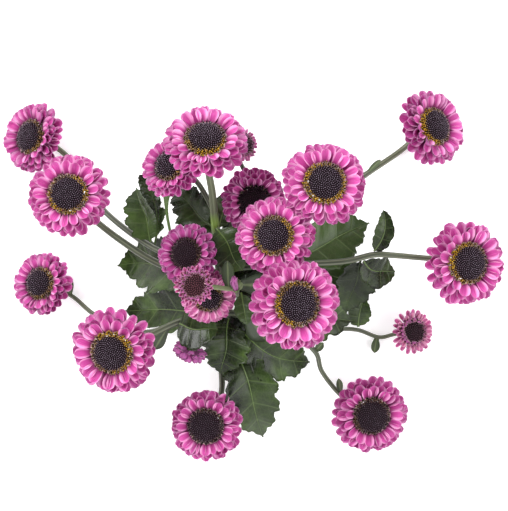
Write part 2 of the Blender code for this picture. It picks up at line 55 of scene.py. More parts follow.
# Each head: its middle in mm, the way it faces and by how many degrees, its width, its stalk's radius, how
# much gold its eye shows, how much painted shade darkens its ray florets, and its stalk's route.
BLOOMS = {
    "bloom_01": ((-122, 75.7, 12.1), (166, 36), 38, 1.5, 0.3, 0.1,
                 ((-17.8, 1, 45), (-38, 8, 43), (-57.5, 17, 35), (-80.5, 34, 19), (-95, 52, 5), (-104, 66, 2))),
    "bloom_02": ((-95, 42, 72), (110, 8), 41, 1.7, 0.7, 0.0,
                 ((-17.5, -2, 43), (-33, 0, 46), (-52, 7.4, 50), (-70, 18.9, 53), (-85, 30.8, 54))),
    "bloom_03": ((-116.6, -4.5, 14), (165, 26), 34, 1.2, 0.3, 0.1,
                 ((-40, -24, 40), (-55, -30, 32), (-68, -29, 22), (-87, -22.3, 8), (-100, -12.3, 2))),
    "bloom_04": ((-72.3, -38.6, 74), (215, 15), 43.5, 1.7, 0.9, 0.0,
                 ((-13, -27, 22), (-27, -22, 33), (-41, -25, 41), (-54, -31, 47))),
    "bloom_05": ((-24, 68, 98), (90, 35), 41, 1.8, 0.55, 0.0, ()),
    "bloom_06": ((-42.7, 56.2, 76), (140, 30), 31.5, 1.3, 0.2, 0.1,
                 ((-20.5, 33, 66), (-24.5, 41, 65), (-29, 48.2, 63), (-34, 53, 62))),
    "bloom_07": ((-5.2, 67.3, 74), (10, 38), 17, 1.1, 0.2, 0.15, ((-8, 36, 48), (-4, 50, 54), (-7.5, 60, 63))),
    "bloom_08": ((0, 39, 66), (-50, 18), 33, 1.4, 0.0, 0.18, ((-18.8, 12, 51), (-12, 28, 48), (-6, 40, 48))),
    "bloom_09": ((35, 46.5, 98), (60, 8), 41, 1.6, 1.0, 0.0, ((-19, 14, 53), (3, 16, 54), (19, 26, 63), (30, 38, 76))),
    "bloom_10": ((10, 20.5, 94), (150, 10), 39, 1.6, 0.7, 0.0, ((-18, 4, 46.5), (-6, 8, 58), (6, 15, 71))),
    "bloom_11": ((21, -13, 104), (0, 14), 44.5, 1.7, 0.8, 0.0,
                 ((-14.5, -20, 29.5), (0, -20, 44), (9, -17, 64), (14, -14, 80))),
    "bloom_12": ((98.5, 81.5, 12.45), (18, 37), 41, 1.6, 0.9, 0.1,
                 ((-18.2, 5, 47), (0, 14, 46), (18, 26, 43), (35, 37, 36), (49, 46, 27), (61, 55, 17),
                  (78, 66.5, 4), (86, 73, 3))),
    "bloom_13": ((110.8, 6.8, 58), (-5, 20), 43, 1.5, 0.8, 0.0,
                 ((-18, 3, 46), (0, 5, 49), (29, 6.6, 51), (48, 7.9, 53), (62.5, 11.2, 53), (73, 10.9, 51.3), (88, 9.6, 47), (98, 8.8, 44.4))),
    "bloom_14": ((87, -31, 12.5), (5, 20), 26, 1.1, 0.1, 0.0,
                 ((22, -30, 28), (36, -30, 19), (48, -29.5, 11), (58, -30.5, 6), (69, -34.5, 2), (77, -33, 3))),
    "bloom_15": ((64, -76.6, 16), (-45, 12), 40.5, 1.25, 0.2, 0.1,
                 ((-14.5, -20, 29.5), (6, -25, 32), (22, -32, 27), (33.5, -42, 19), (37.3, -53, 10), (47.5, -66, 2.2),
                  (56, -71, 2.5))),
    "bloom_16": ((-25.8, -80.9, 30), (200, 8), 38, 1.5, 0.1, 0.1,
                 ((-12, -31, 19), (-17.5, -42, 23), (-17.5, -62, 16), (-21, -74, 12))),
    "bloom_17": ((-34.5, 11.5, 73), (160, 18), 31, 1.3, 0.2, 0.45, ((-18.8, 10, 50), (-25, 11, 53), (-30, 10.5, 58))),
    "bloom_18": ((-29.5, -4, 93), (190, 5), 23, 1.2, 0.15, -0.1,
                 ((-17.3, -3, 42), (-9.5, -2.5, 48), (-7, -4.5, 58), (-8.5, -6.2, 68), (-14.5, -6, 77))),
    "bloom_19": ((-23.5, -11, 58), (-60, 18), 28, 1.3, 0.6, -0.1, ((-16.5, -10, 38), (-19, -9, 45))),
    "bloom_20": ((-34, -40, 40), (250, 98), 17.5, 1.0, 0.0, 0.3, ((-39, -24.5, 40), (-35, -26, 42))),
    "bloom_21": ((-9.2, -6, 79), (102, 50), 8, 0.8, 0.0, 0.3, ((-8.3, -6, 67),)),
}
CORE_DEPTH, CUP_DEPTH, CUP_RADIUS = 0.10, 0.12, 0.18  # shares of a head's width
PALE_STALKS = {"bloom_18": 0.55}
BRACTS = (  # foot, tip, width, and how much each has the dark green of a grown leaf
    ((-101.5, -11.4, 3), (-100.7, -2, 7), 3.2, 0.2),
    ((68, -34.5, 2.2), (66.5, -43, 4.5), 5.2, 0.4),
    ((48, -65, 3), (46.5, -57, 10), 4.0, 0.4),
    ((61, 55, 17), (69, 63, 17), 3.4, 0.3),
    ((33, -41.5, 19), (37.5, -36.5, 23), 4.5, 0.4),
    ((-13, -6.2, 75.5), (-13.5, 8, 81), 7.0, 0.8),
    ((-46, -28, 43), (-53, -39, 36), 7.0, 0.9),
    ((-7, -4.5, 57), (8, -5, 52), 13.0, 1.0),
    ((-3, -19.5, 41.5), (6, -34, 37), 15.0, 1.0),
)


def place(point):
    return (Vector(point) - MIDDLE) * MM


def head_matrix(bloom):
    """Carries a head's own space, disc base at zero and axis up, to where the head sits."""
    way, tilt = (math.radians(a) for a in bloom[1])
    axis = Vector((math.sin(tilt) * math.cos(way), math.sin(tilt) * math.sin(way), math.cos(tilt)))
    return Matrix.Translation(place(bloom[0])) @ axis.to_track_quat("Z", "Y").to_matrix().to_4x4()


def moved(points, matrix):
    m = np.array(matrix)
    return points @ m[:3, :3].T + m[:3, 3]


def lattice(rows, columns, closed=False):
    """The faces between neighbouring points of a lattice, its columns joined round if closed."""
    r, c = np.meshgrid(np.arange(rows - 1), np.arange(columns if closed else columns - 1), indexing="ij")
    after = (c + 1) % columns
    return np.stack([r * columns + c, r * columns + after, (r + 1) * columns + after, (r + 1) * columns + c], -1).reshape(-1, 4)


def smooth_route(points, steps):
    ends = [points[0] * 2 - points[1], *points, points[-1] * 2 - points[-2]]
    found = []
    for a, b, c, d in zip(ends, ends[1:], ends[2:], ends[3:]):
        for k in range(steps):
            t = k / steps
            found.append(0.5 * (2 * b + (c - a) * t + (2 * a - 5 * b + 4 * c - d) * t**2 + (3 * b - a - 3 * c + d) * t**3))
    return [*found, points[-1].copy()]


def stalk_skin(route, radii, number, ribs=5, sides=20):
    """A ribbed round stalk along the route, closed at its ends. Its values: around, along, its own number."""
    rows, up = [], Vector((0.3, 0.2, 1))
    turns = np.linspace(0, 2 * math.pi, sides, endpoint=False)
    for i, (point, radius) in enumerate(zip(route, radii)):
        along = (route[min(i + 1, len(route) - 1)] - route[max(i - 1, 0)]).normalized()
        side = along.cross(up).normalized()
        up = side.cross(along)
        swell = radius * (1 + 0.055 * np.cos(ribs * turns))
        rows.append(np.array(point) + np.outer(swell * np.cos(turns), side) + np.outer(swell * np.sin(turns), up))
    rows = [rows[0] * 0.2 + np.array(route[0]) * 0.8, rows[0] * 0.93 + np.array(route[0]) * 0.07, *rows]
    rows += [rows[-1] * 0.2 + np.array(route[-1]) * 0.8]
    points = np.concatenate(rows)
    share = np.repeat(np.linspace(0, 1, len(rows)), sides)
    values = np.stack([np.tile(turns / math.pi - 1, len(rows)), share, np.full(len(share), number)], -1)
    faces = lattice(len(rows), sides, closed=True)
    return points, np.concatenate([faces, cap_faces(0, sides), cap_faces((len(rows) - 1) * sides, sides)[:, ::-1]]), values


def cap_faces(first, sides):
    """Closes a ring with four-cornered faces side by side."""
    half = sides // 2
    return np.array([[first + k, first + sides - 1 - k, first + sides - 2 - k, first + k + 1] for k in range(half - 1)])


def blade_faces(rows, columns):
    """A thin closed blade: an upper and a lower lattice, and the rim between them."""
    top = lattice(rows, columns)
    shift = rows * columns
    rim = np.array(
        [r * columns for r in range(rows)]
        + [(rows - 1) * columns + c for c in range(1, columns)]
        + [r * columns + columns - 1 for r in range(rows - 2, -1, -1)]
        + [c for c in range(columns - 2, 0, -1)]
    )
    after = np.roll(rim, -1)
    return np.concatenate([top, top[:, ::-1] + shift, np.stack([after, rim, rim + shift, after + shift], -1)])


def petal_skin(length, width, rises, hollow, roll, thick, number, point=0.0, rows=10, columns=9):
    """A spoon-shaped blade along +X from its root, its margins raised. rises: its slope at root and at tip."""
    u, v = np.linspace(-1, 1, columns), 1 - (1 - np.linspace(0, 1, rows)) ** 1.6
    slope = np.radians(rises[0] + (rises[1] - rises[0]) * v)
    step = np.diff(v, prepend=0) * length
    x, z = np.cumsum(np.cos(slope) * step), np.cumsum(np.sin(slope) * step)
    belly = 0.66 - 0.18 * point
    grow = np.clip(v / belly, 0, 1)
    close = np.clip((v - belly) / (1 - belly), 0, 1)
    half = (0.48 + 0.52 * (3 * grow**2 - 2 * grow**3)) * np.clip(1 - close ** (2.9 - point), 0, 1) ** (0.46 + 0.54 * point)
    half = np.maximum(half, 0.24 - 0.18 * point)
    lift = width * (hollow * np.abs(u)[None] ** 2.4 * half[:, None] - 0.03 * np.cos(3 * math.pi * u)[None] * grow[:, None])
    lift = lift + width * 0.8 * hollow * np.clip((v[:, None] - 0.75) / 0.25, 0, 1) ** 2
    y = width / 2 * half[:, None] * u[None] * (1 - 0.35 * hollow)
    turned = y * math.cos(roll) - lift * math.sin(roll)
    raised = y * math.sin(roll) + lift * math.cos(roll)
    top = np.stack(
        [x[:, None] - np.sin(slope)[:, None] * raised, turned, z[:, None] + np.cos(slope)[:, None] * raised], -1
    )
    depth = thick * (1 - 0.5 * np.abs(u)[None, :, None] ** 2)
    under = top - depth * np.stack([-np.sin(slope), 0 * slope, np.cos(slope)], -1)[:, None]
    points = np.concatenate([top.reshape(-1, 3), under.reshape(-1, 3)])
    across = np.tile(u, rows)
    along = np.repeat(v, columns)
    values = np.stack([across, along, np.full(rows * columns, number)], -1)
    return points, blade_faces(rows, columns), np.concatenate([values, values])


def with_kind(skin, kind):
    """Adds three more values to a skin: the first tells its lower side from its upper one."""
    points, faces, values = skin
    marks = np.zeros((len(points), 3))
    marks[:] = kind
    return points, faces, values, marks


def with_sides(skin, shade, plain=0.0):
    """The same for a blade: its second half of points is its lower side."""
    points, faces, values = skin
    marks = np.zeros((len(points), 3))
    marks[len(points) // 2:, 0] = 1
    marks[:, 1:] = shade, plain
    return points, faces, values, marks


def make_piece(name, skins, finish, node):
    """One smooth mesh of the skins, which stands for the CAD node where one is named."""
    starts = np.cumsum([0] + [len(s[0]) for s in skins[:-1]])
    points = np.concatenate([s[0] for s in skins])
    points[:, 2] = np.maximum(points[:, 2], 0.0002)
    mesh = bpy.data.meshes.new(name)
    mesh.from_pydata(points.tolist(), [], np.concatenate([s[1] + k for s, k in zip(skins, starts)]).tolist())
    for label, column in (("place", 2), ("kind", 3)):
        values = mesh.attributes.new(label, "FLOAT_VECTOR", "POINT")
        values.data.foreach_set("vector", np.concatenate([s[column] for s in skins]).astype(np.float32).ravel())
    mesh.shade_smooth()
    mesh.materials.append(finish)
    piece = bpy.data.objects.new(name, mesh)
    bpy.context.scene.collection.objects.link(piece)
    if node:
        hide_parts(node)
    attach(piece, "root")
    return piece


def linear(code):
    """An sRGB hex colour as linear red, green, blue and alpha."""
    parts = [int(code[i : i + 2], 16) / 255 for i in (1, 3, 5)]
    return (*(p / 12.92 if p <= 0.04045 else ((p + 0.055) / 1.055) ** 2.4 for p in parts), 1)


def add_node(tree, kind, links=None, stops=None, **settings):
    """Adds a shader node. links: input name or number to a value or to another node's output."""
    made = tree.nodes.new(kind)
    for key, value in settings.items():
        setattr(made, key, value)
    for key, value in (links or {}).items():
        if isinstance(value, bpy.types.NodeSocket):
            tree.links.new(value, made.inputs[key])
        else:
            made.inputs[key].default_value = value
    for i, (where, colour) in enumerate(stops or ()):
        stop = made.color_ramp.elements[i] if i < 2 else made.color_ramp.elements.new(where)
        stop.position = where
        stop.color = linear(colour) if isinstance(colour, str) else (colour, colour, colour, 1)
    return made


def new_finish(name):
    """A material, its nodes, its shader, and the six values that a skin's points carry."""
    finish = bpy.data.materials.new(name)
    finish.use_nodes = True
    tree = finish.node_tree
    place_of = add_node(tree, "ShaderNodeAttribute", attribute_name="place")
    kind_of = add_node(tree, "ShaderNodeAttribute", attribute_name="kind")
    values = [
        *add_node(tree, "ShaderNodeSeparateXYZ", {0: place_of.outputs["Vector"]}).outputs,
        *add_node(tree, "ShaderNodeSeparateXYZ", {0: kind_of.outputs["Vector"]}).outputs,
    ]
    return finish, tree, tree.nodes["Principled BSDF"], values


# Herbaceous stem: waxy green skin over soft ribs, greyer on the stalks, fresher on the cups, with a dull
# sheen, and yellow-green at the upper fork. The rib crests are painted paler all round, a painted highlight. Mottling
# is a few millimetres long, and the fine hairs between the ribs are drawn as streaks.
stalk_skin_finish, tree, shader, (around, along, number, cup_share, paler, leafy) = new_finish("waxy_green_stalk")
spot = add_node(tree, "ShaderNodeTexCoord").outputs["Object"]
times = [add_node(tree, "ShaderNodeMath", {0: v, 1: k}, operation="MULTIPLY").outputs[0] for v, k in ((around, 7), (along, 6))]
streaks = add_node(tree, "ShaderNodeCombineXYZ", {0: times[0], 1: times[1], 2: number})
hairs = add_node(tree, "ShaderNodeTexNoise", {"Vector": streaks.outputs[0], "Scale": 1.0, "Detail": 3, "Roughness": 0.6})
stalk_green = add_node(tree, "ShaderNodeValToRGB", {0: hairs.outputs[0]},
                       stops=((0.30, "#2B2F22"), (0.52, "#3B4031"), (0.74, "#525843")))
young = add_node(tree, "ShaderNodeValToRGB", {0: along}, stops=((0.45, 0.0), (1.0, 0.7)))
ribs = add_node(tree, "ShaderNodeMath", {0: add_node(tree, "ShaderNodeMath", {0: around, 1: 5 * math.pi}, operation="MULTIPLY").outputs[0]}, operation="COSINE")
# Painted highlight: the rib crests are mixed towards a pale grey-green.
painted_rib_highlight = add_node(tree, "ShaderNodeValToRGB", {0: ribs.outputs[0]}, stops=((0.2, 0.0), (1.0, 0.5)))
rib_highlighted_green = add_node(tree, "ShaderNodeMix", {0: painted_rib_highlight.outputs[0], 6: stalk_green.outputs[0], 7: linear("#7D8269")}, data_type="RGBA")
upper = add_node(tree, "ShaderNodeMix", {0: young.outputs[0], 6: rib_highlighted_green.outputs[2], 7: linear("#6A7050")}, data_type="RGBA")
mottle = add_node(tree, "ShaderNodeTexNoise", {"Vector": spot, "Scale": 260, "Detail": 3, "Roughness": 0.6})
cup_green = add_node(tree, "ShaderNodeValToRGB", {0: mottle.outputs[0]},
                     stops=((0.30, "#2C421A"), (0.55, "#476029"), (0.75, "#6A8441")))
green = add_node(tree, "ShaderNodeMix", {0: cup_share, 6: upper.outputs[2], 7: cup_green.outputs[0]}, data_type="RGBA")
grown = add_node(tree, "ShaderNodeMix", {0: leafy, 6: green.outputs[2], 7: linear("#2A3520")}, data_type="RGBA")
tip_green = add_node(tree, "ShaderNodeMix", {0: paler, 6: grown.outputs[2], 7: linear("#8C9A6A")}, data_type="RGBA")
from_fork = add_node(tree, "ShaderNodeVectorMath", {0: spot, 1: place(FORK)}, operation="DISTANCE")
near_fork = add_node(tree, "ShaderNodeMath", {0: from_fork.outputs["Value"], 1: 100.0}, operation="MULTIPLY")
fork_share = add_node(tree, "ShaderNodeValToRGB", {0: near_fork.outputs[0]}, stops=((0.15, 0.75), (0.75, 0.0)))
forked = add_node(tree, "ShaderNodeMix", {0: fork_share.outputs[0], 6: tip_green.outputs[2], 7: linear("#7FA030")}, data_type="RGBA")
tree.links.new(forked.outputs[2], shader.inputs["Base Color"])
bump = add_node(tree, "ShaderNodeBump", {"Strength": 0.35, "Distance": 0.0004, "Height": hairs.outputs[0]})
tree.links.new(bump.outputs[0], shader.inputs["Normal"])
shader.inputs["Roughness"].default_value = 0.48
shader.inputs["Specular IOR Level"].default_value = 0.45

draw = random.Random(11)
skins = []
for number_of, (name, bloom) in enumerate(BLOOMS.items()):
    at, lean, width, stalk, gold, shade_and_darkening, route = bloom
    to_head = head_matrix(bloom)
    axis = Vector(to_head.col[2][:3])
    depth = (CORE_DEPTH + CUP_DEPTH) * width * MM
    neck = place(at) - axis * depth
    inside = neck + axis * 0.05 * width * MM
    if route:
        points = smooth_route([*(place(p) for p in route), neck - axis * 3 * MM, inside], 8)
        thick = [stalk * MM * (1.12 - 0.20 * i / (len(points) - 1)) for i in range(len(points))]
        skins.append(with_kind(stalk_skin(points, thick, number_of), (0, PALE_STALKS.get(name, 0), 0)))
    else:
        points = smooth_route([*(place(p) for p in STEM_ROUTE), neck - axis * 7 * MM, neck + axis * 2 * MM], 8)
        steps = len(points) - 1
        thick = [(STEM_RADIUS[0] + (STEM_RADIUS[1] - STEM_RADIUS[0]) * i / steps) * MM for i in range(steps + 1)]
        skins.append(with_kind(stalk_skin(points, thick, number_of, sides=30), (0, 0, 0)))
    top = -CORE_DEPTH * width * MM
    foot_radius, top_radius = stalk * 1.1 * MM, CUP_RADIUS * width * MM
    wall = [Vector((0, 0, top - CUP_DEPTH * width * MM * (1 - k / 6))) for k in range(7)]
    bowl = [foot_radius + (top_radius - foot_radius) * (k / 6) ** 0.7 for k in range(7)]
    shape = stalk_skin(wall, bowl, number_of, sides=24)
    cup = 0.3 if name == "bloom_20" else 0.9
    skins.append(with_kind((moved(shape[0], to_head), *shape[1:]), (cup, 0, 0)))
    for tier, count in enumerate((11, 12, 12)):
        for k in range(count):
            turn = 2 * math.pi * (k + 0.5 * tier + draw.uniform(-0.1, 0.1)) / count
            share = (0.15, 0.42, 0.66)[tier]
            radius = foot_radius + (top_radius - foot_radius) * share**0.7
            points, faces, values = petal_skin(
                0.135 * width * MM, 0.085 * width * MM, (48, 66), 0.12, 0, 0.25 * MM, k, point=0.8, rows=6, columns=5
            )
            root = Matrix.Translation((radius, 0, top - CUP_DEPTH * width * MM * (1 - share)))
            points = moved(points, to_head @ Matrix.Rotation(turn, 4, "Z") @ root)
            marks = np.zeros((len(points), 3))
            marks[:, 0] = cup
            marks[:, 1] = np.abs(values[:, 0]) ** 4 * 0.5 * cup
            skins.append((points, faces, values, marks))
for number_of, (foot, tip, width, grown_share) in enumerate(BRACTS):
    along_way = place(tip) - place(foot)
    points, faces, values = petal_skin(along_way.length, width * MM, (4, -8), 0.16, 0, 0.5 * MM, number_of, point=0.5)
    turned = Matrix.Translation(place(foot)) @ along_way.to_track_quat("X", "Z").to_matrix().to_4x4()
    skins.append(with_kind((moved(points, turned), faces, values), (0.5, 0, grown_share)))
    skins[-1][3][:, 1] = np.exp(-((values[:, 0] * width / 0.5) ** 2)) * 0.4
make_piece("stem_and_stalks", skins, stalk_skin_finish, "stem")

# Leaves:
# Soft, thin, deeply lobed leaves with rounded teeth, each on a short stalk of its own. Their halves fold up
# a little from a pale midrib, veins run from it to the lobes, and the blade puckers between the veins.

LEAVES = {
    "leaf_01": ((-12, -35, 22), (5, -90, 3), 30, 12, 1, 0.16),
    "leaf_02": ((-11, -25.5, 26.6), (31, -48, 7), 28, 8, -5, 0.22),
    "leaf_03": ((15, 6.5, 47.8), (61, 28, 43), 29, -3, 0, 0.14),
    "leaf_04": ((24, 5.4, 47.8), (60, -8, 36), 27, -5, 0, 0.12),
    "leaf_05": ((-13.2, -10, 38.5), (54, -25, 18), 30, 4, 0, 0.30),
    "leaf_06": ((62.6, 13.0, 54), (67, 34.5, 60), 10.5, 2, -3, 0.04),
    "leaf_07": ((57.5, 7.8, 51), (75, 2.5, 41), 18, 1, -3, 0.04),
    "leaf_08": ((57.5, -28.6, 6.8), (60.5, -12.5, 14), 13, 2, 1, 0.06),
    "leaf_09": ((-22, 26, 58), (-43, 45, 46), 22, 2, 0, 0.12),
    "leaf_10": ((-55, 18, 37.5), (-63, 47, 33), 23, 2, 0, 0.06),
    "leaf_11": ((-52.8, 16.8, 40.2), (-61, 53.5, 44), 9, 1, -5, 0.45),
    "leaf_12": ((-20, -7.8, 38.3), (-76, 5, -12), 30, 9, -6, 0.25),
    "leaf_13": ((-17.6, -19.5, 28), (-72, -20, -8), 25, 6, 0, 0.22),
    "leaf_14": ((-39.5, -25.2, 43.4), (-19, -28, 49), 22, 2, -1, 0.02),
    "leaf_15": ((-13.5, -23, 31.5), (-18, -53, 29), 27, 3, 0, 0.10),
    "leaf_16": ((-19.4, 25, 65.2), (-6, 3, 63), 22, 2, 0, 0.08),
    "leaf_17": ((-19, 24, 56.3), (-13, 44, 46), 14, 1, 0, 0.12),
    "leaf_18": ((-21.5, 14.5, 51), (-36, 24, 44), 14, 1, 0, 0.12),
    "leaf_19": ((-6.6, -8.2, 65.5), (-3.6, -25, 66), 10.5, 1, 0, 0.10),
}
# Small leaves low in the crown, under the others, made as one mesh rather than solids of their own.
# They are too many to be solids of their own.
LOW_LEAVES = (
    ((-14.5, -8, 35), (17, 4, 37), 19, 1, 0, 0.05),
    ((-12.5, -20, 29.5), (3, -37, 21), 19, 1, 0, 0.05),
    ((-17.5, -2, 41), (-2, 20, 40), 20, 1, 0, 0.05),
    ((-20.5, 18, 53), (-33, 34, 44), 17, 1, 0, 0.05),
    ((-19, 12, 48), (4, 30, 42), 20, 1, 0, 0.05),
    ((-17.5, -6, 38), (-38, -14, 30), 20, 1, 0, 0.05),
    ((-15, -18, 30), (-36, -30, 24), 18, 1, 0, 0.05),
    ((20, 5, 45), (40, -6, 38), 18, 1, 0, 0.10),
    ((56, 8, 49), (49, -20, 34), 20, 1, 0, 0.05),
    ((-38, 8, 43), (-43, 57, 58), 12, 2, 5, 0.72),
)
# Where each vein leaves the midrib, how wide the leaf is there, how far ahead its edge runs, and how much
# the lobe lifts. Wide rows are lobes and narrow rows are the bays between them.
LOBES = np.array((
    (0.00, 0.06, 0.00, 0), (0.13, 0.07, 0.00, 0), (0.18, 0.48, 0.03, 0.2), (0.23, 0.80, 0.06, 0.4), (0.28, 0.76, 0.05, 0),
    (0.32, 0.70, 0.04, 0), (0.36, 0.90, 0.08, 0.3), (0.42, 1.00, 0.11, 0.8), (0.49, 0.90, 0.09, 0.2), (0.53, 0.74, 0.07, 0),
    (0.58, 0.84, 0.10, 0.3), (0.64, 0.78, 0.11, 0.4), (0.70, 0.58, 0.08, 0), (0.76, 0.58, 0.09, 0.3), (0.82, 0.42, 0.08, 0.3),
    (0.88, 0.24, 0.04, 0), (1.00, 0.02, 0.00, 0),
))
SIMPLE_LOBES = np.array((
    (0.00, 0.10, 0.00, 0), (0.12, 0.13, 0.00, 0), (0.22, 0.62, 0.03, 0.2), (0.32, 0.86, 0.05, 0.3), (0.40, 0.82, 0.04, 0),
    (0.50, 1.00, 0.05, 0.4), (0.60, 0.96, 0.06, 0.5), (0.70, 0.78, 0.05, 0), (0.80, 0.62, 0.05, 0.2), (0.90, 0.34, 0.03, 0),
    (1.00, 0.03, 0.00, 0),
))
VEINS = (0.22, 0.41, 0.63, 0.80)
SMALL_LEAF, SHORT_LEAF, BARE, LEAF_FOLD, LEAF_WAVE, LEAF_THICK = 15.5, 29 * MM, 0.17, 0.16, 0.10, 0.5 * MM


def eased(share, table, column):
    """A table's column at those shares, rounded between its rows."""
    row = np.clip(np.searchsorted(table[:, 0], share, side="right") - 1, 0, len(table) - 2)
    t = (share - table[row, 0]) / (table[row + 1, 0] - table[row, 0])
    t = (1 - np.cos(math.pi * np.clip(t, 0, 1))) / 2
    return table[row, column] * (1 - t) + table[row + 1, column] * t


def leaf_skin(leaf, number, rows=72, columns=15):
    foot, tip, width, arch, bow, bare = leaf
    start, end, half = place(foot), place(tip), width * MM / 2
    control = (start + end) / 2 + Vector((0, 0, 2 * arch * MM))
    control += Vector((0, 0, 1)).cross(end - start).normalized() * 2 * bow * MM
    simple = width < SMALL_LEAF or (end - start).length < SHORT_LEAF
    table = SIMPLE_LOBES if simple else LOBES
    start, control, end = (np.array(p) for p in (start, control, end))
    v = np.linspace(0, 1, rows)
    reach = np.where(v < BARE, bare * v / BARE, 1 - (1 - bare) * (1 - v) / (1 - BARE))[:, None]
    rib = start * (1 - reach) ** 2 + control * 2 * reach * (1 - reach) + end * reach**2
    along = (control - start) * (1 - reach) + (end - control) * reach
    along /= np.linalg.norm(along, axis=1)[:, None]
    side = np.cross((0, 0, 1), along)
    side /= np.linalg.norm(side, axis=1)[:, None]
    up = np.cross(along, side)
    rib = rib + side * (1.1 * MM * np.sin(reach * 5 + number * 1.7) * np.sin(math.pi * reach) * (width > SMALL_LEAF))
    chord = np.linalg.norm(end - start)
    u = np.linspace(-1, 1, columns)
    draw = np.random.default_rng(number)
    bite = 0.03 if simple else 0.07
    teeth = 1 + bite * np.abs(np.sin(v * math.pi * 17 + draw.uniform(0, 3))) * np.clip((v - 0.17) * 8, 0, 1)
    spread = np.maximum(eased(v, table, 1) * teeth * (1 + 0.05 * np.sin(v * 9 + draw.uniform(0, 6))), 0.03)
    ahead = eased(v, table, 2)
    lift = eased(v, table, 3)
    bulge = np.abs(np.sin((v - VEINS[0]) / 0.21 * math.pi))  # fullest between the veins
    out = spread[:, None] * half * u[None]
    rise = np.abs(out) * (LEAF_FOLD + LEAF_WAVE * lift[:, None])
    calm = float(np.clip(chord / (48 * MM), 0.1, 1)) ** 1.5  # short leaves are smoother
    pucker = 0.9 * MM * calm * (bulge[:, None] - 0.4) * np.sin(math.pi * np.abs(u))[None] * np.clip(spread[:, None] * 1.6 - 0.3, 0, 1)
    wave = 0.5 * MM * calm * np.sin(v[:, None] * 37 + 3 * u[None] + draw.uniform(0, 6)) * np.abs(u)[None] ** 3 * spread[:, None]
    groove = -0.25 * MM * np.exp(-((out / (0.9 * MM)) ** 2)) * np.clip(v[:, None] * 8 - 1, 0, 1)
    high = (rise + pucker + wave + groove)[..., None]
    body = rib[:, None] + side[:, None] * out[..., None] + along[:, None] * (ahead[:, None] * np.abs(u)[None] * chord)[..., None]
    top = body + up[:, None] * high
    floor = 0.6 * MM
    top[..., 2] = np.maximum(top[..., 2], floor + 0.15 * MM * (1 + np.sin(40 * v[:, None] + 5 * u[None])))
    thick = LEAF_THICK * (0.8 + 1.6 * np.exp(-((out / (0.8 * MM)) ** 2)))[..., None]
    under = top - up[:, None] * thick
    points = np.concatenate([top.reshape(-1, 3), under.reshape(-1, 3)])
    values = np.stack([(out / MM).ravel(), np.repeat(v, columns), np.full(rows * columns, number)], -1)
    return points, blade_faces(rows, columns), np.concatenate([values, values])


# Leaf tissue: dark green with a soft gloss on its cuticle, paler below. Its green is darkened by painted shade in
# patches a few centimetres wide, more on one half of each leaf, as if that half were turned from the light. Veins are
# drawn where the lobes' veins leave the midrib, 0.5 mm wide, with a net of finer ones about 2.5 mm apart, and the blade
# is sunk along them.
leaf_finish, tree, shader, (out_mm, along, number, below, tone, plain) = new_finish("soft_lobed_leaf")
spot = add_node(tree, "ShaderNodeTexCoord").outputs["Object"]
mottle = add_node(tree, "ShaderNodeTexNoise", {"Vector": spot, "Scale": 90, "Detail": 4, "Roughness": 0.6})
blade = add_node(tree, "ShaderNodeValToRGB", {0: mottle.outputs[0]},
                 stops=((0.28, "#19240A"), (0.50, "#2B3B17"), (0.72, "#485E29")))
# Painted shade: wide dark patches, deeper on one half of each leaf, multiply the blade's green.
wide = add_node(tree, "ShaderNodeTexNoise", {"Vector": spot, "Scale": 38, "Detail": 1})
painted_half_shade = add_node(tree, "ShaderNodeMath", {0: out_mm, 1: 0.007}, operation="MULTIPLY")
painted_shade_amount = add_node(tree, "ShaderNodeMath", {0: wide.outputs[0], 1: painted_half_shade.outputs[0]}, operation="ADD")
patches = add_node(tree, "ShaderNodeValToRGB", {0: painted_shade_amount.outputs[0]}, stops=((0.38, "#5E6156"), (0.66, "#FFFFFF")))
painted_shade_blade = add_node(tree, "ShaderNodeMix", {0: 1.0, 6: blade.outputs[0], 7: patches.outputs[0]}, data_type="RGBA", blend_type="MULTIPLY")
fresh = add_node(tree, "ShaderNodeMix", {0: tone, 6: painted_shade_blade.outputs[2], 7: linear("#5F7846")}, data_type="RGBA")
distance = add_node(tree, "ShaderNodeMath", {0: out_mm}, operation="ABSOLUTE")
thinner = add_node(tree, "ShaderNodeMath", {0: 1.15, 1: along}, operation="SUBTRACT")
from_rib = add_node(tree, "ShaderNodeMath", {0: distance.outputs[0], 1: thinner.outputs[0]}, operation="DIVIDE")
midrib = add_node(tree, "ShaderNodeValToRGB", {0: from_rib.outputs[0]}, stops=((0.0, 0.8), (0.55, 0.0), (0.25, 0.5)))
stops = [(0.0, 0.0), (1.0, 0.0)]
for vein in VEINS:
    stops += [(vein - 0.009, 0.0), (vein, 0.26), (vein + 0.009, 0.0)]
laterals = add_node(tree, "ShaderNodeValToRGB", {0: along}, stops=stops)
net = add_node(tree, "ShaderNodeTexVoronoi", {"Vector": spot, "Scale": 400}, feature="DISTANCE_TO_EDGE")
fine = add_node(tree, "ShaderNodeValToRGB", {0: net.outputs["Distance"]}, stops=((0.0, 0.07), (0.10, 0.0)))
veins = add_node(tree, "ShaderNodeMath", {0: midrib.outputs[0], 1: laterals.outputs[0]}, operation="MAXIMUM")
all_veins = add_node(tree, "ShaderNodeMath", {0: veins.outputs[0], 1: fine.outputs[0]}, operation="MAXIMUM")
showing = add_node(tree, "ShaderNodeMath", {0: 1.0, 1: plain}, operation="SUBTRACT")
vein_share = add_node(tree, "ShaderNodeMath", {0: all_veins.outputs[0], 1: showing.outputs[0]}, operation="MULTIPLY")
veined = add_node(tree, "ShaderNodeMix", {0: vein_share.outputs[0], 6: fresh.outputs[2], 7: linear("#6B8148")}, data_type="RGBA")
sides = add_node(tree, "ShaderNodeMix", {0: below, 6: veined.outputs[2], 7: linear("#55664A")}, data_type="RGBA")
tree.links.new(sides.outputs[2], shader.inputs["Base Color"])
